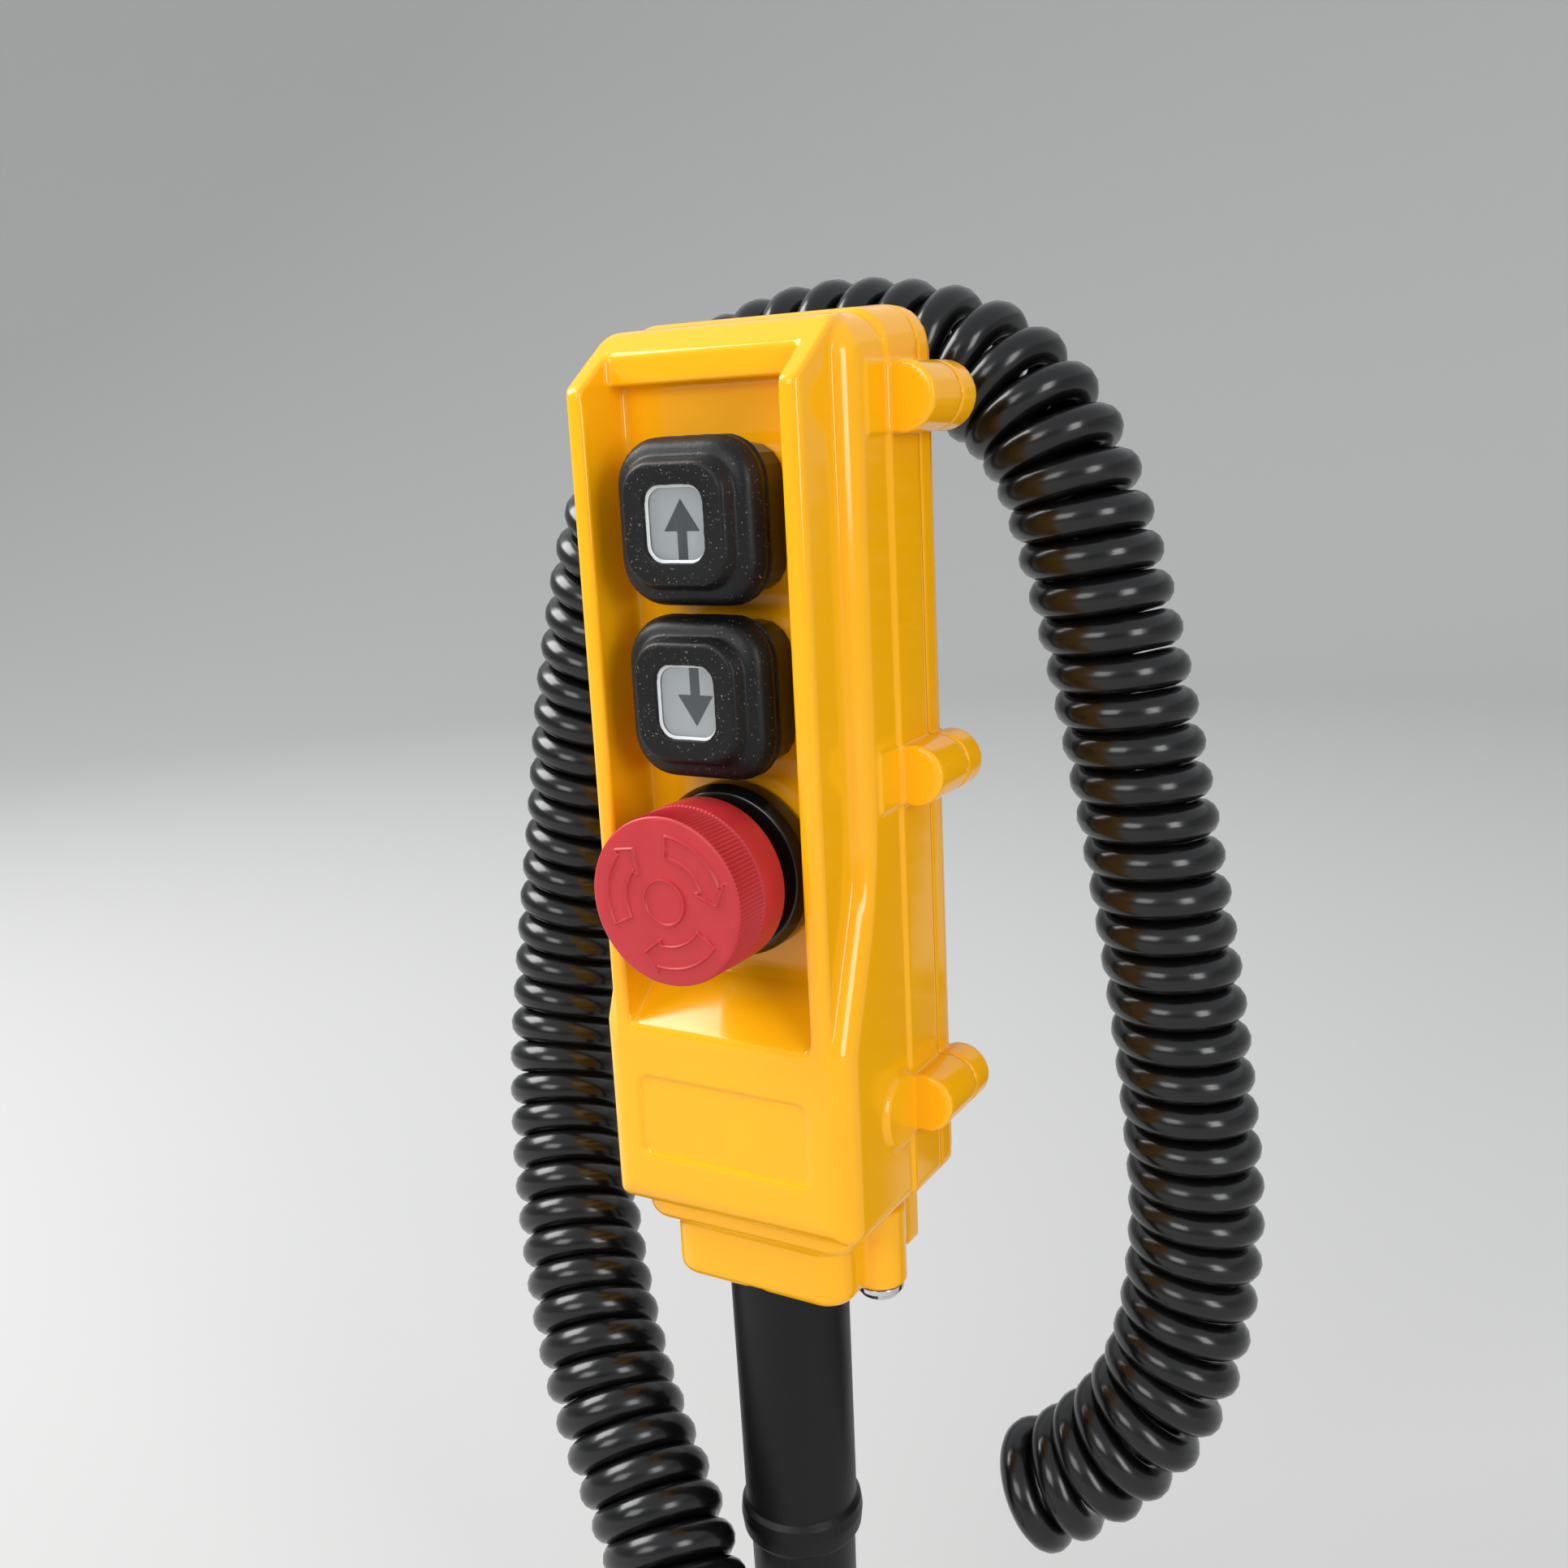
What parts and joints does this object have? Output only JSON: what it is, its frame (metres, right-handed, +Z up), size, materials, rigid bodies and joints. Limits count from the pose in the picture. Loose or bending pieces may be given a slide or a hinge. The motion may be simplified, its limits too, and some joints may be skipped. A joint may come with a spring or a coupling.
{
  "type": "pendant control station",
  "caption": "Hand-held two-shell pendant control station with rubber-hooded up and down push buttons, a mushroom stop button and a curly cord.",
  "frame": {"origin": "middle of the housing's flat back face, level with the point where a holder or wall would back it", "axes": "+Z up the housing, cable end down; +Y out of the flat back face; the buttons face -Y; +X to the right of a person who faces the buttons"},
  "size_m": [0.1775, 0.1332, 0.3267],
  "materials": {
    "yellow_abs": "glossy moulded ABS, signal yellow",
    "black_rubber": "satin moulded rubber",
    "black_plastic": "glossy black moulded plastic",
    "zinc_steel": "bright zinc plate",
    "chrome_plate": "polished plate",
    "brass_contact": "bright machined brass",
    "grey_block": "matt moulded plastic",
    "silver_plate": "satin anodised, printed arrow",
    "clear_lens": "clear polished plastic",
    "red_plastic": "satin moulded plastic, signal red",
    "cord_jacket": "very glossy black polyurethane jacket",
    "wire_black": "insulated wire",
    "wire_blue": "insulated wire",
    "wire_brown": "insulated wire"
  },
  "bodies": {
    "housing": {"front_cover": "yellow_abs", "rear_cover": "yellow_abs", "cover_gasket": "black_rubber", "cover_screw_1": "zinc_steel", "cover_screw_2": "zinc_steel", "cover_screw_3": "zinc_steel", "cover_screw_4": "zinc_steel", "cover_screw_5": "zinc_steel", "cover_screw_6": "zinc_steel", "up_bezel": "black_plastic", "up_spring": "zinc_steel", "up_contact": "grey_block", "up_contact_terminal_left": "brass_contact", "up_contact_terminal_right": "brass_contact", "down_bezel": "black_plastic", "down_spring": "zinc_steel", "down_contact": "grey_block", "down_contact_terminal_left": "brass_contact", "down_contact_terminal_right": "brass_contact", "stop_collar": "black_plastic", "stop_bushing": "zinc_steel", "stop_nut": "zinc_steel", "stop_spring": "zinc_steel", "stop_contact": "grey_block", "stop_contact_terminal_left": "brass_contact", "stop_contact_terminal_right": "brass_contact", "cable_sleeve": "black_rubber", "cable_clamp": "black_plastic", "clamp_screw_left": "zinc_steel", "clamp_screw_right": "zinc_steel", "anchor_screw": "chrome_plate", "cable_jacket": "cord_jacket", "wire_stop": "wire_black", "wire_down": "wire_blue", "wire_up": "wire_brown", "cord_lead": "cord_jacket", "cord_coil": "cord_jacket", "cord_tail": "cord_jacket", "plug_gland_nut": "black_plastic", "plug_body": "black_plastic", "plug_ring": "zinc_steel", "plug_insert": "grey_block", "plug_pin_1": "brass_contact", "plug_pin_2": "brass_contact", "plug_pin_3": "brass_contact", "plug_pin_4": "brass_contact"},
    "up_button": {"up_hood": "black_rubber", "up_plunger": "black_plastic", "up_legend": "silver_plate", "up_lens": "clear_lens"},
    "down_button": {"down_hood": "black_rubber", "down_plunger": "black_plastic", "down_legend": "silver_plate", "down_lens": "clear_lens"},
    "stop_plunger": {"stop_core": "black_plastic"},
    "stop_mushroom": {"stop_head": "red_plastic"}
  },
  "joints": [
    {"name": "up_push", "type": "slide", "parent": "housing", "child": "up_button", "axis": [0, 1, 0], "range_m": [0, 0.0035], "stiffness_N_per_m": 1500, "deforming": ["up_spring"]},
    {"name": "down_push", "type": "slide", "parent": "housing", "child": "down_button", "axis": [0, 1, 0], "range_m": [0, 0.0035], "stiffness_N_per_m": 1500, "deforming": ["down_spring"]},
    {"name": "stop_push", "type": "slide", "parent": "housing", "child": "stop_plunger", "axis": [0, 1, 0], "range_m": [0, 0.004], "deforming": ["stop_spring"]},
    {"name": "stop_twist", "type": "hinge", "parent": "stop_plunger", "child": "stop_mushroom", "pos_m": [0, -0.05, -0.015], "axis": [0, 1, 0], "range_deg": [0, 35], "stiffness_Nm_per_rad": 0.1}
  ]
}
